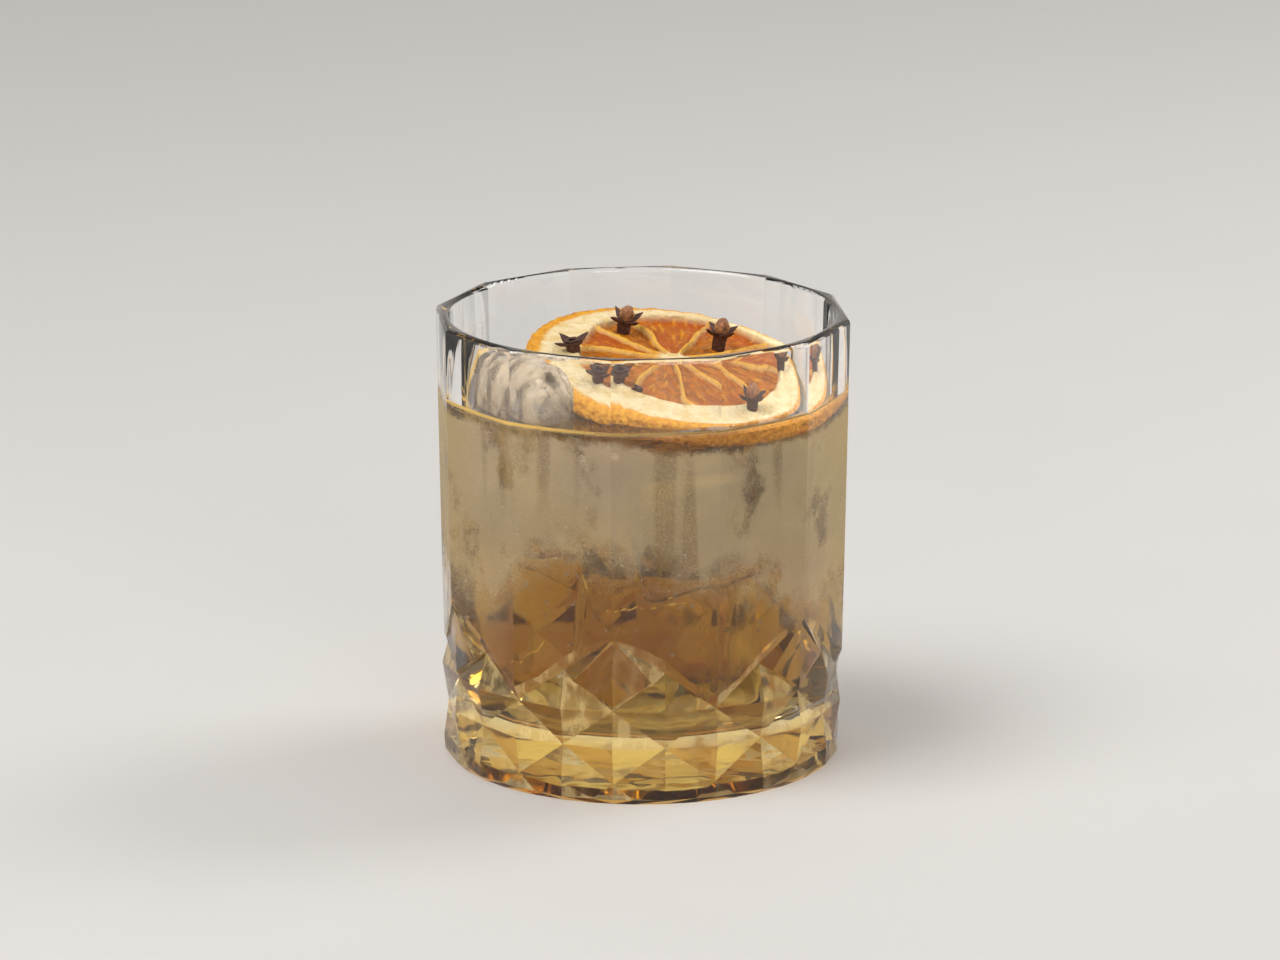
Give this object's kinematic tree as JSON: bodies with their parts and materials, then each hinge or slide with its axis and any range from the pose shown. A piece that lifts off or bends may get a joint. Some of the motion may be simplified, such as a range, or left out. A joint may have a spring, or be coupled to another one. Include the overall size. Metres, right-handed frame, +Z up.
{
  "type": "rusty nail cocktail",
  "caption": "Amber drink over ice in a short cut-glass tumbler, with a clove-studded dried orange slice leaning in its mouth.",
  "frame": {"origin": "centre of the glass at its foot, on the surface that it stands on", "axes": "+Z up along the axis of the glass, -Y towards the front corner of the panels, below which one tall point of the cut band stands"},
  "size_m": [0.083, 0.083, 0.09],
  "materials": {
    "clear_glass": "clear pressed glass, polished rim",
    "amber_drink": "clear liquid, amber below and milky with ice above",
    "ice": "cloudy wet ice",
    "dried_orange": "dried fruit, pale pith and golden rind",
    "clove": "dry, finely wrinkled"
  },
  "bodies": {
    "root": {"glass": "clear_glass", "drink": "amber_drink", "ice_block": "ice", "orange_slice": "dried_orange", "clove_1": "clove", "clove_2": "clove", "clove_3": "clove", "clove_4": "clove", "clove_5": "clove", "clove_6": "clove"}
  },
  "joints": []
}
